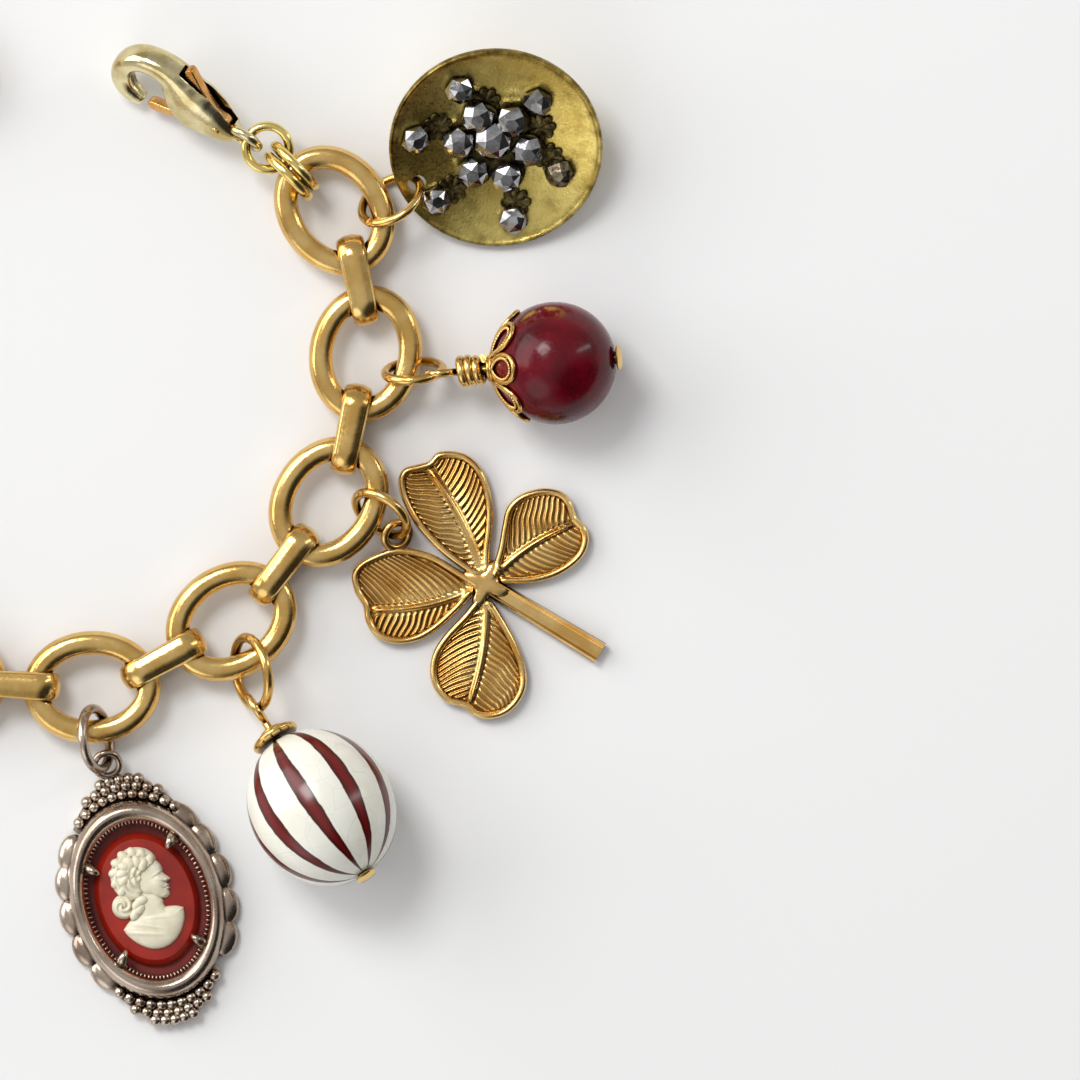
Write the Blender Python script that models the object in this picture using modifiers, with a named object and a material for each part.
"""Charm bracelet laid flat: oval and joining links, a lobster clasp, and five charms on rings.

Lengths named in the constants are millimetres. X runs right and Y up as the piece is seen from above.
"""

import math

import bmesh
import bpy
import numpy as np
from mathutils import Matrix, Vector

MM = 0.001
FIT_GAP = 0.15  # between a fixed piece and its seat
RIDE_GAP = 0.3  # between two pieces that hang loose in one another

# Oval links
OVAL_LENGTH = 13.9
OVAL_WIDTH = 11.4
OVAL_BAR_WIDTH = 2.4
OVAL_BAR_HEIGHT = 2.1
OVAL_Z = 2.35
OVAL_STEPS = 22

# Joining links, stamped from strip and standing on edge
JOIN_LENGTH = 9.3
JOIN_HEIGHT = 4.7
JOIN_STRIP = 2.6
JOIN_THICKNESS = 0.75

# Where each oval link lies: name, x, y, direction of the long axis in degrees
OVAL_PLACES = (
    ("oval_link_01", 33.5, -21.1, -55),
    ("oval_link_02", 36.6, -35.4, 80),
    ("oval_link_03", 32.9, -50.2, 58),
    ("oval_link_04", 23.2, -62.1, 32),
    ("oval_link_05", 9.3, -68.7, 2),
    ("oval_link_06", -6.0, -67.2, -24),
    ("oval_link_07", -18.9, -58.6, -47),
    ("oval_link_08", -26.0, -45.2, -75),
    ("oval_link_09", -26.4, -30.0, -102),
    ("oval_link_10", -20.0, -16.3, -130),
    ("oval_link_11", -8.2, -7.5, -180),
)

# Round rings: name, metal, outer diameter, wire, centre x, y, z, direction of the plane, lean of the plane
RING_PLACES = (
    ("clasp_ring", "pale_gold", 5.3, 0.95, 26.82, -14.91, 3.8, 10.25, 5.14),
    ("double_ring_1", "gold", 6.6, 1.0, 29.55, -16.7, 3.23, -46.02, 88.17),
    ("double_ring_2", "gold", 6.6, 1.0, 28.92, -17.74, 3.22, -45.32, 88.47),
    ("button_ring", "gold", 7.4, 0.9, 39.14, -20.07, 2.97, 32.55, 126.6),
    ("red_bead_ring", "gold", 6.6, 0.95, 41.41, -37.14, 3.09, 5.14, -69.77),
    ("clover_ring", "gold", 6.8, 0.95, 38.15, -51.39, 2.88, -35.35, 58.61),
    ("striped_bead_ring", "gold", 8.1, 1.0, 25.25, -67.22, 3.52, -78.61, 62.57),
    ("cameo_ring", "aged_silver", 7.1, 1.0, 9.72, -73.86, 3.18, -81.88, 113.58),
)
RING_STEPS = 14

# Lobster clasp, in its own frame: u from the eye to the hook, v towards the thumb side, w across
CLASP_END = (26.3, -15.05)  # the outer end of the eye
CLASP_HEADING = 148.0
CLASP_ROLL = 50.0
CLASP_Z = 3.75
EYE_RADIUS = 1.6
EYE_WIRE = 0.5
EYE_TWIST = 30.0
PIVOT = (4.9, 0.3)
PIN_RADIUS = 0.45
PIN_BORE = 0.7
SLOT_WIDTH = 1.7
LEVER_WIDTH = 1.1
# Centre line of the body: u, v, half width in the plane, half thickness across
CLASP_SECTIONS = (
    (12.7, -2.95, 0.5, 0.75),
    (13.7, -2.95, 0.75, 0.95),
    (14.9, -2.5, 0.95, 1.15),
    (15.8, -1.4, 1.1, 1.3),
    (16.1, 0.0, 1.15, 1.4),
    (15.7, 1.3, 1.15, 1.45),
    (14.6, 2.3, 1.15, 1.5),
    (13.0, 2.75, 1.2, 1.55),
    (11.4, 2.6, 1.4, 1.65),
    (10.1, 1.8, 2.0, 1.8),
    (8.9, 1.0, 2.5, 1.95),
    (7.5, 0.5, 2.6, 1.95),
    (6.0, 0.3, 2.25, 1.8),
    (4.7, 0.1, 1.7, 1.55),
    (3.5, 0.0, 1.15, 1.2),
    (2.9, 0.0, 0.8, 0.85),
)
CLASP_SIDES = 14
SLOT_OUTLINE = (
    (3.6, -1.4),
    (3.6, 1.9),
    (5.0, 5.6),
    (9.0, 7.5),
    (11.4, 5.6),
    (10.8, 3.75),
    (8.4, 1.5),
    (9.1, 0.75),
    (12.0, 0.75),
    (12.0, -5.0),
    (6.0, -5.0),
)
LEVER_OUTLINE = (
    (5.1, -0.75),
    (8.4, -2.1),
    (11.2, -3.1),
    (12.05, -3.05),
    (12.05, -2.3),
    (10.5, -1.9),
    (8.2, -1.0),
    (6.9, 0.3),
    (8.6, 2.2),
    (10.3, 3.9),
    (10.3, 4.6),
    (9.75, 4.75),
    (8.2, 3.35),
    (6.3, 1.9),
    (5.3, 1.35),
)
LEVER_EYE = 1.1

# Cut-steel button: a dished disc with studs
BUTTON_AT = (49.6, -15.1)
BUTTON_RADIUS = 10.65
BUTTON_TILT = 25.0  # the far edge is the raised one
BUTTON_DEPTH = 1.8
BUTTON_SHEET = 0.9
BUTTON_HOLE_AT = (41.7, -18.4)
BUTTON_HOLE = 0.95
STAR_RADIUS = 5.3
STUD_RADIUS = 1.75
STUD_HEIGHT = 1.3
OUTER_STUD_RADIUS = 1.4
STAR_TURN = 30.0
# Where each stud is seen from above: x, y
INNER_STUD_PLACES = (
    (49.3, -14.4),
    (47.8, -12.1),
    (51.2, -12.5),
    (52.8, -15.4),
    (50.7, -17.9),
    (47.3, -17.5),
    (45.9, -14.6),
)
OUTER_STUD_PLACES = (
    (46.0, -9.3),
    (53.8, -10.5),
    (56.0, -17.5),
    (51.3, -22.1),
    (43.6, -20.2),
    (41.6, -14.2),
)

# Red bead on its head pin
RED_AT = (55.5, -36.4)
RED_Z = 6.2
RED_RADIUS = 6.1
RED_HEADING = 5.0
RED_RISE = 10.0
BORE_RADIUS = 0.7
PIN_WIRE = 0.4
RED_LOOP_OUT = 11.6
RED_LOOP_RADIUS = 1.35
RED_LOOP_WIRE = 0.4
CAP_SHEET = 0.55
CAP_PETALS = 7
CAP_FROM = 12.0
CAP_TO = 55.0

# Clover
CLOVER_CENTRE = (48.6, -58.4)
CLOVER_THICKNESS = 1.5
CLOVER_EYE_AT = (39.7, -53.5)
CLOVER_EYE_RADIUS = 1.35
CLOVER_EYE_WIRE = 0.42
STEM_END = (60.0, -65.3)
STEM_WIDTH = 1.9
BOSS_RADIUS = 1.9
# Outline of each leaf as x, y in turn round it, from the boss and back
LEAF_OUTLINES = (
    (
        (47.3, -57.6), (44.4, -55.5), (41.8, -52.8), (40.3, -50.2), (39.85, -48.2), (40.4, -46.9),
        (42.0, -46.4), (42.9, -46.1), (43.7, -45.3), (45.0, -45.1), (46.7, -45.5), (48.1, -46.8),
        (48.9, -48.6), (49.3, -50.8), (49.25, -53.0), (49.0, -55.0), (49.0, -57.0),
    ),
    (
        (49.1, -57.2), (49.8, -55.0), (50.2, -52.8), (50.7, -50.8), (52.0, -49.5), (54.1, -48.85),
        (56.0, -49.1), (57.1, -50.1), (57.7, -51.7), (58.6, -52.7), (58.9, -54.0), (58.4, -55.5),
        (57.1, -56.8), (55.2, -57.8), (53.0, -58.3), (50.5, -58.4),
    ),
    (
        (47.4, -57.9), (45.8, -56.9), (43.6, -55.6), (41.4, -54.9), (39.4, -54.8), (37.3, -55.5),
        (35.8, -56.4), (35.2, -57.6), (35.5, -59.2), (36.3, -60.6), (36.6, -62.2), (37.4, -63.5),
        (38.7, -64.2), (40.3, -64.4), (42.0, -64.0), (43.7, -63.0), (45.2, -61.7), (47.2, -59.7),
    ),
    (
        (47.6, -59.9), (46.3, -61.5), (44.6, -63.3), (43.5, -64.9), (43.05, -66.4), (43.1, -68.0),
        (43.7, -69.3), (44.8, -70.3), (46.3, -70.7), (47.5, -71.6), (48.9, -71.9), (50.5, -71.5),
        (51.8, -70.4), (52.6, -68.8), (52.6, -67.0), (51.9, -64.8), (50.9, -62.8), (49.4, -60.3),
    ),
)

# Striped bead on its eye pin
STRIPED_AT = (32.3, -80.6)
STRIPED_Z = 7.35
STRIPED_RADIUS = 7.2
STRIPED_HALF_LENGTH = 8.2
STRIPED_HEADING = 124.0  # from the bead to its cap
STRIPED_RISE = -18.0
SPACER_RADIUS = 2.5
SPACER_THICKNESS = 0.9
EYE_LOOP_OUT = 12.3
EYE_LOOP_RADIUS = 1.5
EYE_LOOP_WIRE = 0.4

# Cameo pendant
CAMEO_AT = (14.73, -89.9)
CAMEO_TILT = 18.0
FRAME_LONG = 10.2
FRAME_SHORT = 7.6
OPENING_LONG = 8.1
OPENING_SHORT = 5.85
FRAME_HEIGHT = 3.0
PLATE_THICKNESS = 0.8
SCALLOP_PLACES = (41, 23, 3, -17, -36)  # degrees round the oval, mirrored to the other side
GRAIN_RADIUS = 0.48
GRAIN_ROWS = ((0.6, 8, 34.0), (1.5, 6, 22.0), (2.3, 3, 9.0))  # offset, count, half angle
STONE_LONG = 7.2
STONE_SHORT = 5.1
STONE_HEIGHT = 1.7
CAMEO_EYE_AT = (10.75, -76.4)
CAMEO_EYE_RADIUS = 1.25
CAMEO_EYE_WIRE = 0.35
BUST_HEIGHT = 1.0
# the masses of the bust, in the frame's own axes: half width, half length and middle
BUST_HEAD = (2.85, 2.9, 0.05, 2.5)
BUST_CURLS = (1.2, 1.3, -2.4, 0.0)
BUST_NECK = (1.5, 2.4, 0.0, -1.2)
BUST_SHOULDERS = (3.0, 2.3, 0.1, -3.2)

GOLD = (0.83, 0.62, 0.25, 1.0)
PALE_GOLD = (0.80, 0.72, 0.48, 1.0)
STEEL = (0.42, 0.42, 0.42, 1.0)
ANTIQUE = (0.33, 0.29, 0.13, 1.0)
SILVER = (0.42, 0.36, 0.31, 1.0)
BURGUNDY = (0.16, 0.01, 0.03, 1.0)
CREAM = (0.92, 0.90, 0.80, 1.0)
CARNELIAN = (0.55, 0.05, 0.03, 1.0)
METALS = {"gold": GOLD, "pale_gold": PALE_GOLD, "aged_silver": SILVER}


def clear_scene():
    for obj in list(bpy.data.objects):
        bpy.data.objects.remove(obj, do_unlink=True)


def material(name, colour, metallic):
    found = bpy.data.materials.get(name)
    if found:
        return found
    made = bpy.data.materials.new(name)
    made.use_nodes = True
    surface = made.node_tree.nodes["Principled BSDF"]
    surface.inputs["Base Color"].default_value = colour
    surface.inputs["Metallic"].default_value = metallic
    surface.inputs["Roughness"].default_value = 0.25
    return made


def finish(obj, name, colour, metallic, smooth_under=40.0):
    """Names the object, gives it its material, faces it out and shades it smooth below the angle."""
    obj.name = name
    obj.data.name = name
    mesh = bmesh.new()
    mesh.from_mesh(obj.data)
    bmesh.ops.remove_doubles(mesh, verts=mesh.verts, dist=1e-6)
    bmesh.ops.recalc_face_normals(mesh, faces=mesh.faces)
    mesh.to_mesh(obj.data)
    mesh.free()
    obj.data.materials.clear()
    obj.data.materials.append(material(name, colour, metallic))
    obj.data.set_sharp_from_angle(angle=math.radians(smooth_under))
    obj.data.polygons.foreach_set("use_smooth", [True] * len(obj.data.polygons))
    return obj


def from_mesh(mesh, place=None):
    obj = bpy.data.objects.new("piece", mesh)
    COLLECTION.objects.link(obj)
    if place is not None:
        obj.matrix_world = place
    bpy.context.view_layer.update()
    return obj


def from_faces(points, faces, place=None):
    mesh = bpy.data.meshes.new("piece")
    mesh.from_pydata([Vector(p) * MM for p in points], [], faces)
    mesh.validate()
    return from_mesh(mesh, place)


def added(obj=None):
    """The object that an operator has just added, moved into the collection."""
    obj = bpy.context.active_object
    for other in list(obj.users_collection):
        other.objects.unlink(obj)
    COLLECTION.objects.link(obj)
    return obj


def baked(obj):
    """The object as a plain mesh, its transform written into the points."""
    bpy.context.view_layer.update()
    graph = bpy.context.evaluated_depsgraph_get()
    mesh = bpy.data.meshes.new_from_object(obj.evaluated_get(graph))
    mesh.transform(obj.matrix_world)
    if obj.matrix_world.determinant() < 0:
        mesh.flip_normals()
    bpy.data.objects.remove(obj, do_unlink=True)
    clean = bmesh.new()
    clean.from_mesh(mesh)
    bmesh.ops.remove_doubles(clean, verts=clean.verts, dist=1e-6)
    bmesh.ops.recalc_face_normals(clean, faces=clean.faces)
    clean.to_mesh(mesh)
    clean.free()
    return from_mesh(mesh)


def combined(obj, tools, operation):
    """The exact Boolean of obj with each tool in turn."""
    for tool in tools:
        change = obj.modifiers.new("cut", "BOOLEAN")
        change.operation = operation
        change.solver = "EXACT"
        change.object = tool
        bpy.context.view_layer.update()
        graph = bpy.context.evaluated_depsgraph_get()
        mesh = bpy.data.meshes.new_from_object(obj.evaluated_get(graph))
        bpy.data.objects.remove(obj, do_unlink=True)
        bpy.data.objects.remove(tool, do_unlink=True)
        obj = from_mesh(mesh)
    return obj


def wire(points, radius, closed):
    """A round wire along the points."""
    curve = bpy.data.curves.new("wire", "CURVE")
    curve.dimensions = "3D"
    curve.bevel_depth = radius * MM
    curve.bevel_resolution = 2
    curve.use_fill_caps = not closed
    spline = curve.splines.new("POLY")
    spline.points.add(len(points) - 1)
    for point, place in zip(spline.points, points):
        point.co = (place[0] * MM, place[1] * MM, place[2] * MM, 1.0)
    spline.use_cyclic_u = closed
    obj = bpy.data.objects.new("wire", curve)
    COLLECTION.objects.link(obj)
    return baked(obj)


def plate(outlines, thickness):
    """A flat sheet with this outline, any further outlines being its holes, centred on z = 0."""
    curve = bpy.data.curves.new("plate", "CURVE")
    curve.dimensions = "2D"
    curve.fill_mode = "BOTH"
    curve.extrude = thickness / 2 * MM
    for outline in outlines:
        spline = curve.splines.new("POLY")
        spline.points.add(len(outline) - 1)
        for point, place in zip(spline.points, outline):
            point.co = (place[0] * MM, place[1] * MM, 0.0, 1.0)
        spline.use_cyclic_u = True
    obj = bpy.data.objects.new("plate", curve)
    COLLECTION.objects.link(obj)
    return baked(obj)


def turned(profile, steps):
    """A profile of (radius, height) points, top to bottom on its outer side, turned about Z by a Screw."""
    mesh = bpy.data.meshes.new("profile")
    count = len(profile)
    edges = [(i, (i + 1) % count) for i in range(count)]
    mesh.from_pydata([(r * MM, 0.0, h * MM) for r, h in profile], edges, [])
    obj = bpy.data.objects.new("profile", mesh)
    COLLECTION.objects.link(obj)
    screw = obj.modifiers.new("turn", "SCREW")
    screw.steps = steps
    screw.render_steps = steps
    screw.use_merge_vertices = True
    screw.merge_threshold = 0.00001
    return baked(obj)


def cylinder(radius, depth, sides, place):
    bpy.ops.mesh.primitive_cylinder_add(vertices=sides, radius=radius * MM, depth=depth * MM)
    obj = added()
    obj.matrix_world = place
    return baked(obj)


def cut_stud(low, high, depth, sides, place):
    """A faceted stud: a cone frustum whose flat top is its table."""
    bpy.ops.mesh.primitive_cone_add(vertices=sides, radius1=low * MM, radius2=high * MM, depth=depth * MM)
    obj = added()
    obj.matrix_world = place
    return baked(obj)


def ball(radii, place, around=12, high=8):
    bpy.ops.mesh.primitive_uv_sphere_add(segments=around, ring_count=high, radius=MM)
    obj = added()
    obj.matrix_world = place @ Matrix.Diagonal((radii[0], radii[1], radii[2], 1.0))
    return baked(obj)


def grain(radius, place):
    bpy.ops.mesh.primitive_ico_sphere_add(subdivisions=1, radius=radius * MM)
    obj = added()
    obj.matrix_world = place
    return baked(obj)


def torus(major, minor, around, across, place):
    bpy.ops.mesh.primitive_torus_add(
        major_segments=around, minor_segments=across, major_radius=major * MM, minor_radius=minor * MM
    )
    obj = added()
    obj.matrix_world = place
    return baked(obj)


def at(x, y, z):
    return Matrix.Translation((x * MM, y * MM, z * MM))


def turn(degrees, axis):
    return Matrix.Rotation(math.radians(degrees), 4, axis)


def along(start, direction):
    """A frame whose Z runs along the direction."""
    z = Vector(direction).normalized()
    return at(*start) @ z.to_track_quat("Z", "Y").to_matrix().to_4x4()


def oval_points(long_radius, short_radius, steps):
    for k in range(steps):
        a = 2 * math.pi * k / steps
        yield (long_radius * math.cos(a), short_radius * math.sin(a), 0.0)


def nearest_on_oval(place, toward):
    """The point of an oval link's centre line that reaches furthest toward a direction."""
    _, x, y, heading = place
    long_radius = (OVAL_LENGTH - OVAL_BAR_WIDTH) / 2
    short_radius = (OVAL_WIDTH - OVAL_BAR_WIDTH) / 2
    h = math.radians(heading)
    along_long = toward[0] * math.cos(h) + toward[1] * math.sin(h)
    along_short = -toward[0] * math.sin(h) + toward[1] * math.cos(h)
    reach = math.hypot(long_radius * along_long, short_radius * along_short)
    p = long_radius**2 * along_long / reach
    q = short_radius**2 * along_short / reach
    return np.array((x + p * math.cos(h) - q * math.sin(h), y + p * math.sin(h) + q * math.cos(h)))


def make_oval_links():
    long_radius = (OVAL_LENGTH - OVAL_BAR_WIDTH) / 2
    short_radius = (OVAL_WIDTH - OVAL_BAR_WIDTH) / 2
    for name, x, y, heading in OVAL_PLACES:
        link = wire(list(oval_points(long_radius, short_radius, OVAL_STEPS)), OVAL_BAR_WIDTH / 2, True)
        link.data.transform(Matrix.Diagonal((1.0, 1.0, OVAL_BAR_HEIGHT / OVAL_BAR_WIDTH, 1.0)))
        finish(link, name, GOLD, 1.0)
        link.matrix_world = at(x, y, OVAL_Z) @ turn(heading, "Z")


def stadium(length, height, steps):
    """A closed outline with straight sides and round ends."""
    radius = height / 2
    straight = length / 2 - radius
    outline = []
    for side in (1, -1):
        for k in range(steps + 1):
            a = math.radians(-90 + 180 * k / steps)
            outline.append((side * (straight + radius * math.cos(a)), side * radius * math.sin(a)))
    return outline


def make_joining_links():
    inner_length = JOIN_LENGTH - 2 * JOIN_THICKNESS
    inner_height = JOIN_HEIGHT - 2 * JOIN_THICKNESS
    for k in range(len(OVAL_PLACES) - 1):
        first = OVAL_PLACES[k]
        second = OVAL_PLACES[k + 1]
        way = np.array((second[1] - first[1], second[2] - first[2]))
        way = way / np.hypot(*way)
        for _ in range(30):
            start = nearest_on_oval(first, way)
            end = nearest_on_oval(second, -way)
            way = 0.7 * way + 0.3 * (end - start) / np.hypot(*(end - start))
            way = way / np.hypot(*way)
        middle = (start + end) / 2
        heading = math.degrees(math.atan2(way[1], way[0]))
        outer = stadium(JOIN_LENGTH, JOIN_HEIGHT, 6)
        inner = stadium(inner_length, inner_height, 6)
        link = plate((outer, inner), JOIN_STRIP)
        finish(link, f"joining_link_{k + 1:02d}", GOLD, 1.0, 60.0)
        link.matrix_world = at(middle[0], middle[1], JOIN_HEIGHT / 2) @ turn(heading, "Z") @ turn(90, "X")


def make_rings():
    for name, metal, across, gauge, x, y, z, heading, lean in RING_PLACES:
        ring = torus((across - gauge) / 2, gauge / 2, RING_STEPS, 6, Matrix.Identity(4))
        finish(ring, name, METALS[metal], 1.0, 80.0)
        ring.matrix_world = at(x, y, z) @ turn(heading, "Z") @ turn(lean, "X")


def clasp_frame():
    """The clasp's own frame: u along its length, v to its back and w across it."""
    h = math.radians(CLASP_HEADING)
    r = math.radians(CLASP_ROLL)
    u = Vector((math.cos(h), math.sin(h), 0.0))
    n = Vector((math.sin(h), -math.cos(h), 0.0))
    v = n * math.cos(r) + Vector((0.0, 0.0, 1.0)) * math.sin(r)
    w = u.cross(v)
    turned_axes = Matrix((u, v, w)).transposed().to_4x4()
    return at(CLASP_END[0], CLASP_END[1], CLASP_Z) @ turned_axes


def make_clasp():
    sections = np.array(CLASP_SECTIONS)
    centres = sections[:, :2]
    tangents = np.gradient(centres, axis=0)
    tangents /= np.linalg.norm(tangents, axis=1)[:, None]
    points = []
    for (u, v, wide, thick), tangent in zip(sections, tangents):
        for k in range(CLASP_SIDES):
            a = 2 * math.pi * k / CLASP_SIDES
            c = wide * math.cos(a)
            points.append((u - tangent[1] * c, v + tangent[0] * c, thick * math.sin(a)))
    faces = []
    for s in range(len(sections) - 1):
        for k in range(CLASP_SIDES):
            n = (k + 1) % CLASP_SIDES
            base = s * CLASP_SIDES
            faces.append((base + k, base + n, base + CLASP_SIDES + n, base + CLASP_SIDES + k))
    faces.append(tuple(reversed(range(CLASP_SIDES))))
    last = (len(sections) - 1) * CLASP_SIDES
    faces.append(tuple(range(last, last + CLASP_SIDES)))
    body = baked(from_faces(points, faces))
    eye = torus(EYE_RADIUS, EYE_WIRE, 16, 8, at(EYE_RADIUS + EYE_WIRE, 0, 0) @ turn(-EYE_TWIST, "X"))
    body = combined(body, [eye], "UNION")
    body = combined(body, [plate((SLOT_OUTLINE,), SLOT_WIDTH)], "DIFFERENCE")
    pin = cylinder(PIN_RADIUS, 3.5, 10, at(PIVOT[0], PIVOT[1], 0))
    body = combined(body, [pin], "UNION")
    finish(body, "clasp_body", PALE_GOLD, 1.0)
    body.matrix_world = clasp_frame()

    outline = [(u - PIVOT[0], v - PIVOT[1]) for u, v in LEVER_OUTLINE]
    for k in range(9):
        a = math.radians(75 + (285 - 75) * k / 8)
        if 0 < k < 8:
            outline.append((LEVER_EYE * math.cos(a), LEVER_EYE * math.sin(a)))
    bore = [(PIN_BORE * math.cos(math.pi * k / 6), PIN_BORE * math.sin(math.pi * k / 6)) for k in range(12)]
    lever = plate((outline, bore), LEVER_WIDTH)
    finish(lever, "clasp_lever", GOLD, 1.0)
    lever.matrix_world = clasp_frame() @ at(PIVOT[0], PIVOT[1], 0)


def dish_height(radius):
    """Height of the dish's face below its rim plane."""
    return -BUTTON_DEPTH * (1 - (radius / BUTTON_RADIUS) ** 2)


def on_button(spot, height):
    """The button's own x and y of a point seen at this spot, at this height over its rim plane."""
    t = math.radians(BUTTON_TILT)
    return (spot[0] - BUTTON_AT[0], (spot[1] - BUTTON_AT[1] + height * math.sin(t)) / math.cos(t))


def make_button():
    centre_z = BUTTON_RADIUS * math.sin(math.radians(BUTTON_TILT)) + BUTTON_SHEET
    frame = at(BUTTON_AT[0], BUTTON_AT[1], centre_z) @ turn(BUTTON_TILT, "X")
    radii = (BUTTON_RADIUS, 10.0, 8.4, 6.2, 3.4)
    face = [(r, dish_height(r)) for r in radii]
    back = [(r, dish_height(r) - BUTTON_SHEET) for r in reversed(radii)]
    profile = [(0.0, dish_height(0))] + face[::-1] + back[::-1] + [(0.0, dish_height(0) - BUTTON_SHEET)]
    disc = turned(profile, 28)
    hole_x, hole_y = on_button(BUTTON_HOLE_AT, -0.9)
    disc = combined(disc, [cylinder(BUTTON_HOLE, 8, 12, at(hole_x, hole_y, 0))], "DIFFERENCE")
    finish(disc, "button_disc", ANTIQUE, 1.0)
    disc.matrix_world = frame

    outline = []
    for k in range(12):
        a = math.radians(STAR_TURN + 30 * k)
        reach = STAR_RADIUS if k % 2 == 0 else STAR_RADIUS * 0.8
        outline.append((reach * math.cos(a), reach * math.sin(a)))
    lift = dish_height(STAR_RADIUS) + FIT_GAP
    star = plate((outline,), 0.5)
    star.data.transform(at(0, 0, lift + 0.25))
    studs = []
    for k, spot in enumerate(INNER_STUD_PLACES):
        height = lift + 0.4 + STUD_HEIGHT / 2
        x, y = on_button(spot, height)
        radius = STUD_RADIUS if k == 0 else STUD_RADIUS - 0.15
        studs.append(cut_stud(radius, radius * 0.5, STUD_HEIGHT, 10, at(x, y, height)))
    star = combined(star, studs, "UNION")
    finish(star, "steel_star", STEEL, 1.0, 20.0)
    star.matrix_world = frame

    for k, spot in enumerate(OUTER_STUD_PLACES):
        x, y = on_button(spot, 0.0)
        x, y = on_button(spot, dish_height(math.hypot(x, y)) + 0.6)
        reach = math.hypot(x, y)
        slope = math.degrees(math.atan(2 * BUTTON_DEPTH * reach / BUTTON_RADIUS**2))
        stud = cut_stud(OUTER_STUD_RADIUS, 0.7, 1.1, 10, Matrix.Identity(4))
        finish(stud, f"outer_stud_{k + 1}", STEEL, 1.0, 20.0)
        tilt = turn(math.degrees(math.atan2(y, x)), "Z") @ turn(-slope, "Y")
        lifted = at(0, 0, FIT_GAP + 0.55 + 0.05)
        stud.matrix_world = frame @ at(x, y, dish_height(reach)) @ tilt @ lifted


def bead_frame(spot, z, heading, rise):
    """A frame at the bead's middle whose Z runs along its pin."""
    h = math.radians(heading)
    r = math.radians(rise)
    way = (math.cos(h) * math.cos(r), math.sin(h) * math.cos(r), math.sin(r))
    return along((spot[0], spot[1], z), way)


def make_red_bead():
    frame = bead_frame(RED_AT, RED_Z, RED_HEADING, RED_RISE)
    bead = ball((RED_RADIUS, RED_RADIUS, RED_RADIUS), Matrix.Identity(4), 20, 12)
    bead = combined(bead, [cylinder(BORE_RADIUS, 20, 10, Matrix.Identity(4))], "DIFFERENCE")
    finish(bead, "red_bead", BURGUNDY, 0.0)
    bead.matrix_world = frame

    low = RED_RADIUS + FIT_GAP
    high = low + CAP_SHEET
    angles = [CAP_FROM + (CAP_TO - CAP_FROM) * k / 4 for k in range(5)]
    outside = [(high * math.sin(math.radians(a)), -high * math.cos(math.radians(a))) for a in angles]
    inside = [(low * math.sin(math.radians(a)), -low * math.cos(math.radians(a))) for a in angles]
    cap = turned(outside + inside[::-1], 21)
    cuts = []
    for k in range(CAP_PETALS):
        a = 360.0 * k / CAP_PETALS
        petal = turn(a, "Z") @ turn(180 - 38, "Y")
        cuts.append(cylinder(1.05, 20, 8, petal @ at(0, 0, 10)))
        notch = turn(a + 180 / CAP_PETALS, "Z") @ turn(180 - 58, "Y")
        cuts.append(cylinder(1.1, 20, 6, notch @ at(0, 0, 10)))
    cap = combined(cap, cuts, "DIFFERENCE")
    finish(cap, "bead_cap", GOLD, 1.0)
    cap.matrix_world = frame

    pin = cylinder(PIN_WIRE, RED_LOOP_OUT + RED_RADIUS + 0.3 - RED_LOOP_RADIUS, 8,
                   at(0, 0, (RED_RADIUS + 0.3 - RED_LOOP_OUT + RED_LOOP_RADIUS) / 2))
    head = cylinder(1.3, 0.5, 12, at(0, 0, RED_RADIUS + 0.4))
    coil = cylinder(1.4, 2.0, 10, at(0, 0, -RED_LOOP_OUT + RED_LOOP_RADIUS + 1.0))
    loop = torus(RED_LOOP_RADIUS, RED_LOOP_WIRE, 14, 6, at(0, 0, -RED_LOOP_OUT) @ turn(90, "X"))
    pin = combined(pin, [head, coil, loop], "UNION")
    finish(pin, "bead_pin", GOLD, 1.0)
    pin.matrix_world = frame


def make_clover():
    leaves = [plate((outline,), CLOVER_THICKNESS) for outline in LEAF_OUTLINES]
    boss = cylinder(BOSS_RADIUS, CLOVER_THICKNESS, 16, at(CLOVER_CENTRE[0], CLOVER_CENTRE[1], 0))
    way = np.array(STEM_END) - np.array(CLOVER_CENTRE)
    side = np.array((-way[1], way[0])) / np.hypot(*way) * STEM_WIDTH / 2
    corners = (CLOVER_CENTRE + side, CLOVER_CENTRE - side, STEM_END - side, STEM_END + side)
    stem = plate((corners,), CLOVER_THICKNESS)
    eye_place = at(CLOVER_EYE_AT[0], CLOVER_EYE_AT[1], 0.7) @ turn(50, "Z") @ turn(35, "X")
    eye = torus(CLOVER_EYE_RADIUS, CLOVER_EYE_WIRE, 14, 6, eye_place)
    clover = combined(boss, leaves + [stem, eye], "UNION")
    finish(clover, "clover", GOLD, 1.0)
    clover.matrix_world = at(0, 0, CLOVER_THICKNESS / 2)


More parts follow.
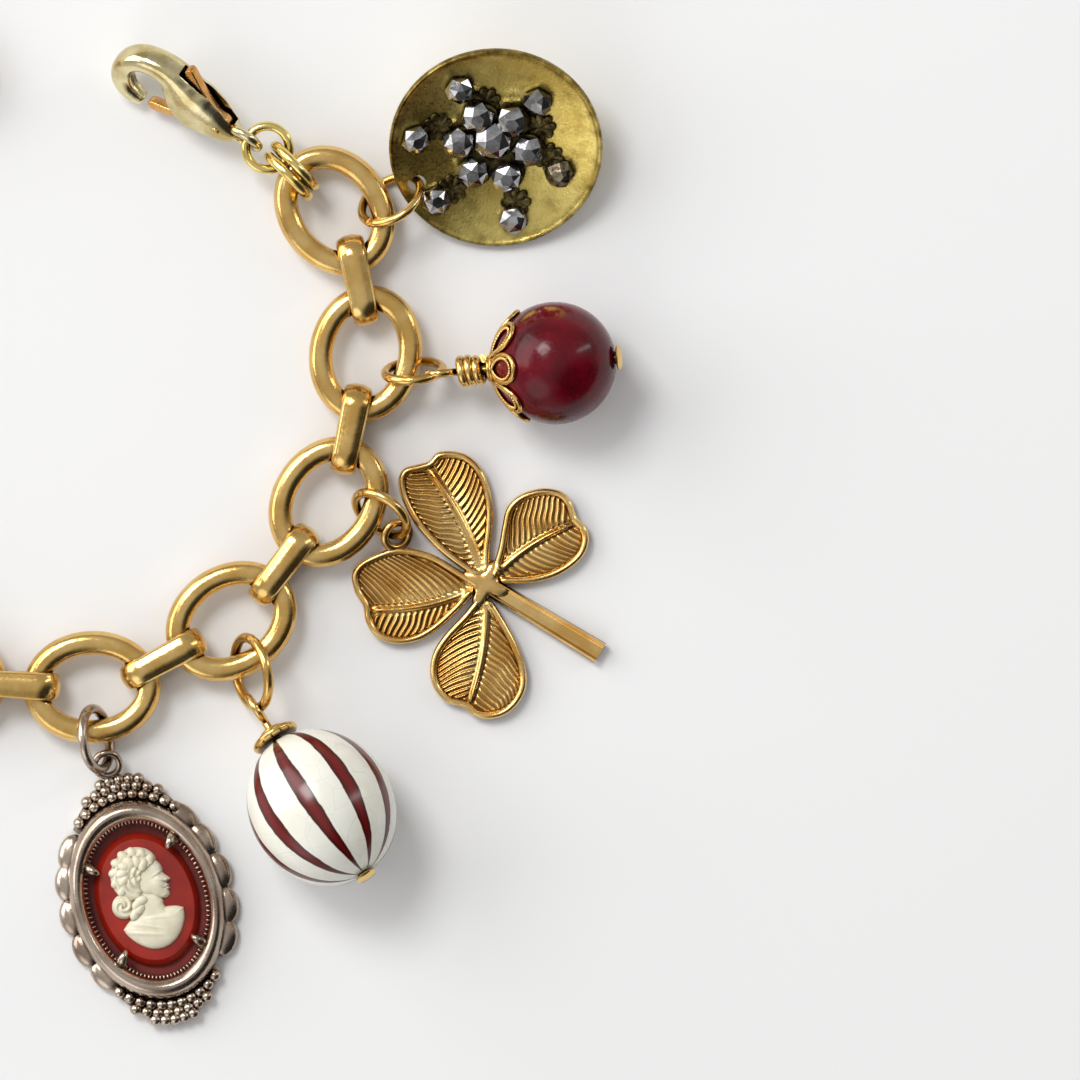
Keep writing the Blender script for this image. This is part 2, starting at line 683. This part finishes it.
def make_striped_bead():
    frame = bead_frame(STRIPED_AT, STRIPED_Z, STRIPED_HEADING, STRIPED_RISE)
    bead = ball((STRIPED_RADIUS, STRIPED_RADIUS, STRIPED_HALF_LENGTH), Matrix.Identity(4), 20, 14)
    bead = combined(bead, [cylinder(BORE_RADIUS, 24, 10, Matrix.Identity(4))], "DIFFERENCE")
    finish(bead, "striped_bead", CREAM, 0.0)
    bead.matrix_world = frame

    rest = STRIPED_HALF_LENGTH * math.sqrt(1 - (BORE_RADIUS / STRIPED_RADIUS) ** 2) + FIT_GAP
    spacer = turned(
        (
            (SPACER_RADIUS - 0.4, rest + SPACER_THICKNESS),
            (SPACER_RADIUS, rest + SPACER_THICKNESS / 2),
            (SPACER_RADIUS - 0.4, rest),
            (BORE_RADIUS, rest),
            (BORE_RADIUS, rest + SPACER_THICKNESS),
        ),
        20,
    )
    finish(spacer, "spacer_cap", GOLD, 1.0)
    spacer.matrix_world = frame

    top = EYE_LOOP_OUT - EYE_LOOP_RADIUS
    low = -STRIPED_HALF_LENGTH - 0.2
    pin = cylinder(PIN_WIRE, top - low, 8, at(0, 0, (top + low) / 2))
    head = cylinder(1.1, 0.5, 10, at(0, 0, low - 0.1))
    loop = torus(EYE_LOOP_RADIUS, EYE_LOOP_WIRE, 14, 6, at(0, 0, EYE_LOOP_OUT) @ turn(90, "X"))
    pin = combined(pin, [head, loop], "UNION")
    finish(pin, "eye_pin", GOLD, 1.0)
    pin.matrix_world = frame


def make_cameo():
    frame = at(CAMEO_AT[0], CAMEO_AT[1], 0) @ turn(CAMEO_TILT, "Z")
    # the oval wall of the frame, turned as a round one and drawn out along Y
    wall = FRAME_SHORT - OPENING_SHORT
    dome = turned(
        (
            (OPENING_SHORT, PLATE_THICKNESS + 0.8),
            (OPENING_SHORT + wall * 0.35, FRAME_HEIGHT),
            (OPENING_SHORT + wall * 0.75, FRAME_HEIGHT * 0.85),
            (FRAME_SHORT, PLATE_THICKNESS),
            (FRAME_SHORT, 0.0),
            (OPENING_SHORT, 0.0),
        ),
        28,
    )
    dome.data.transform(Matrix.Diagonal((1.0, FRAME_LONG / FRAME_SHORT, 1.0, 1.0)))
    pieces = []
    for angle in SCALLOP_PLACES:
        for side in (angle, 180 - angle):
            a = math.radians(side)
            spot = (FRAME_SHORT * math.cos(a), FRAME_LONG * math.sin(a))
            heading = math.degrees(math.atan2(FRAME_SHORT * math.sin(a), FRAME_LONG * math.cos(a)))
            place = at(spot[0], spot[1], 0.75) @ turn(heading, "Z")
            pieces.append(ball((1.35, 1.75, 0.75), place, 8, 4))
    for end in (84, -96):
        for offset, count, half_angle in GRAIN_ROWS:
            for k in range(count):
                a = math.radians(end + half_angle * (2 * k / (count - 1) - 1))
                spot = ((FRAME_SHORT + offset) * math.cos(a), (FRAME_LONG + offset) * math.sin(a))
                pieces.append(grain(GRAIN_RADIUS, at(spot[0], spot[1], 1.0)))
        tongue = []
        for k in range(9):
            a = math.radians(end + 42 * (k / 4 - 1))
            reach = 2.5 - 1.6 * abs(k / 4 - 1)
            tongue.append(((FRAME_SHORT + reach) * math.cos(a), (FRAME_LONG + reach) * math.sin(a)))
        for k in range(8, -1, -1):
            a = math.radians(end + 42 * (k / 4 - 1))
            tongue.append(((FRAME_SHORT - 0.8) * math.cos(a), (FRAME_LONG - 0.8) * math.sin(a)))
        sheet = plate((tongue,), 0.9)
        sheet.data.transform(at(0, 0, 0.45))
        pieces.append(sheet)
    oval = [(p[0], p[1]) for p in oval_points(OPENING_SHORT + 0.5, OPENING_LONG + 0.5, 24)]
    floor = plate((oval,), PLATE_THICKNESS - 0.3)
    floor.data.transform(at(0, 0, (PLATE_THICKNESS - 0.3) / 2))
    pieces.append(floor)
    for a in (41, 143, 221, 313):
        spot = (5.3 * math.cos(math.radians(a)), 7.3 * math.sin(math.radians(a)))
        lean = math.degrees(math.atan2(-spot[1], -spot[0]))
        claw = at(spot[0] * 1.02, spot[1] * 1.02, 2.35) @ turn(lean, "Z") @ turn(90, "Y")
        pieces.append(cut_stud(0.55, 0.2, 1.5, 6, claw))
    eye_x, eye_y, _ = frame.inverted() @ Vector((CAMEO_EYE_AT[0] * MM, CAMEO_EYE_AT[1] * MM, 0)) / MM
    pieces.append(torus(CAMEO_EYE_RADIUS, CAMEO_EYE_WIRE, 12, 6, at(eye_x, eye_y, 1.75) @ turn(25, "X")))
    dome = combined(dome, pieces, "UNION")
    finish(dome, "cameo_frame", SILVER, 1.0)
    dome.matrix_world = frame

    stone = turned(
        (
            (0.0, STONE_HEIGHT),
            (STONE_SHORT * 0.6, STONE_HEIGHT - 0.1),
            (STONE_SHORT * 0.93, STONE_HEIGHT - 0.35),
            (STONE_SHORT, STONE_HEIGHT - 0.8),
            (STONE_SHORT, PLATE_THICKNESS - 0.3 + FIT_GAP),
            (0.0, PLATE_THICKNESS - 0.3 + FIT_GAP),
        ),
        24,
    )
    stone.data.transform(Matrix.Diagonal((1.0, STONE_LONG / STONE_SHORT, 1.0, 1.0)))
    finish(stone, "cameo_stone", CARNELIAN, 0.0)
    stone.matrix_world = frame

    level = STONE_HEIGHT + FIT_GAP
    masses = []
    for mass, share, around, high in (
        (BUST_HEAD, 1.0, 14, 8),
        (BUST_CURLS, 0.9, 10, 6),
        (BUST_NECK, 0.8, 10, 6),
        (BUST_SHOULDERS, 0.85, 12, 6),
    ):
        radii = (mass[0], mass[1], BUST_HEIGHT * share)
        masses.append(ball(radii, at(mass[2], mass[3], level), around, high))
    bust = combined(masses[0], masses[1:], "UNION")
    block = plate((((-9, -9), (9, -9), (9, 9), (-9, 9)),), 4.0)
    block.data.transform(at(0, 0, level - 2.0))
    bust = combined(bust, [block], "DIFFERENCE")
    finish(bust, "cameo_bust", CREAM, 0.0)
    bust.matrix_world = frame


def centre_on_origin():
    """Moves everything so that the middle of the bounding box's bottom is the origin."""
    bpy.context.view_layer.update()
    low = np.full(3, np.inf)
    high = np.full(3, -np.inf)
    for obj in COLLECTION.objects:
        corners = np.array([obj.matrix_world @ v.co for v in obj.data.vertices])
        low = np.minimum(low, corners.min(axis=0))
        high = np.maximum(high, corners.max(axis=0))
    shift = Matrix.Translation((-(low[0] + high[0]) / 2, -(low[1] + high[1]) / 2, -low[2]))
    for obj in COLLECTION.objects:
        obj.matrix_world = shift @ obj.matrix_world


clear_scene()
COLLECTION = bpy.data.collections.new("charm_bracelet")
bpy.context.scene.collection.children.link(COLLECTION)
make_oval_links()
make_joining_links()
make_rings()
make_clasp()
make_button()
make_red_bead()
make_clover()
make_striped_bead()
make_cameo()
centre_on_origin()
